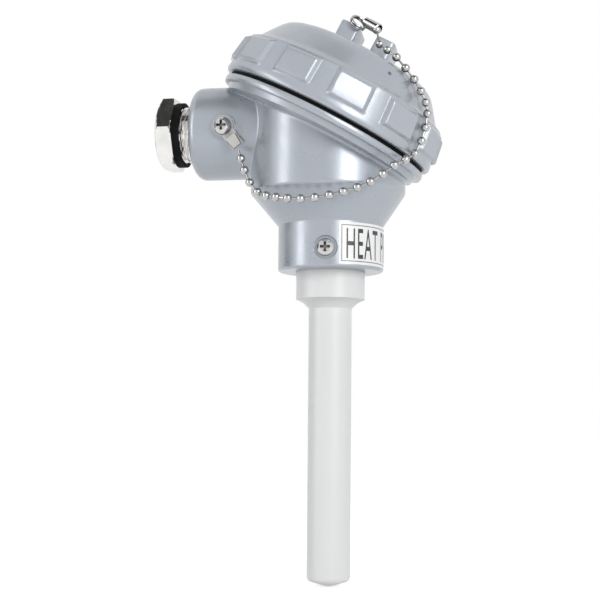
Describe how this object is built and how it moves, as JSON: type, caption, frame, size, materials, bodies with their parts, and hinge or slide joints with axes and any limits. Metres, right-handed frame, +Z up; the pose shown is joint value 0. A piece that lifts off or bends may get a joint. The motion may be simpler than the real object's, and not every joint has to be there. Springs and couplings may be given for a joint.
{
  "type": "thermocouple with head",
  "caption": "Thermocouple with a straight ceramic sheath, a cast head with a tilted screw cap held by a bead chain, and a side cable gland.",
  "frame": {"origin": "On the sheath's axis, at the top of its plain straight length.", "axes": "+Z runs up the sheath to the head, -X is the cable entry's side, +Y completes a right-handed frame. The cap's axis leans from +Z towards +X."},
  "size_m": [0.1016, 0.0816, 0.199],
  "materials": {
    "silver_paint": "glossy light silver paint on cast aluminium",
    "ceramic": "smooth fired ceramic",
    "nickel": "bright nickel plate",
    "zinc": "zinc-plated steel",
    "black_rubber": "matt black rubber",
    "terminal_ceramic": "matt steatite",
    "brass": "machined brass",
    "thermo_wire_positive": "drawn alloy wire",
    "thermo_wire_negative": "drawn alloy wire",
    "label_film": "white printed film"
  },
  "bodies": {
    "head": {"head_body": "silver_paint", "sheath": "ceramic", "cable_grommet": "black_rubber", "grommet_washer": "zinc", "clamp_screw": "zinc", "chain_lug": "nickel", "chain_screw": "zinc", "bead_chain": "nickel", "terminal_block": "terminal_ceramic", "block_screws": "zinc", "terminal_post_plus": "brass", "terminal_post_minus": "brass", "terminal_screws": "zinc", "measuring_junction": "thermo_wire_positive", "insulator_rod": "ceramic", "wire_positive": "thermo_wire_positive", "wire_negative": "thermo_wire_negative", "label": "label_film"},
    "cap_carriage": {"cap_seal": "black_rubber"},
    "cap_body": {"cap": "silver_paint", "chain_ring": "nickel", "chain_connector": "nickel"},
    "gland_carriage": {"gland_seal": "black_rubber"},
    "gland_body": {"gland_nut": "nickel"}
  },
  "joints": [
    {"name": "cap_rise", "type": "slide", "parent": "head", "child": "cap_carriage", "axis": [0.4617, 0, 0.887], "range_m": [0, 0.00901], "deforming": ["bead_chain"]},
    {"name": "cap_turn", "type": "hinge", "parent": "cap_carriage", "child": "cap_body", "pos_m": [-0.0021, 0, 0.0655], "axis": [0.4617, 0, 0.887], "range_deg": [0, 1080]},
    {"name": "gland_travel", "type": "slide", "parent": "head", "child": "gland_carriage", "axis": [-1, 0, 0], "range_m": [-0.00421, 0.00751]},
    {"name": "gland_turn", "type": "hinge", "parent": "gland_carriage", "child": "gland_body", "pos_m": [-0.0585, 0, 0.0633], "axis": [-1, 0, 0], "range_deg": [-1008, 1800]}
  ],
  "couplings": [
    {"joint": "cap_rise", "follows": "cap_turn", "m_per_rad": 0.00047746},
    {"joint": "gland_travel", "follows": "gland_turn", "m_per_rad": 0.00023873}
  ]
}
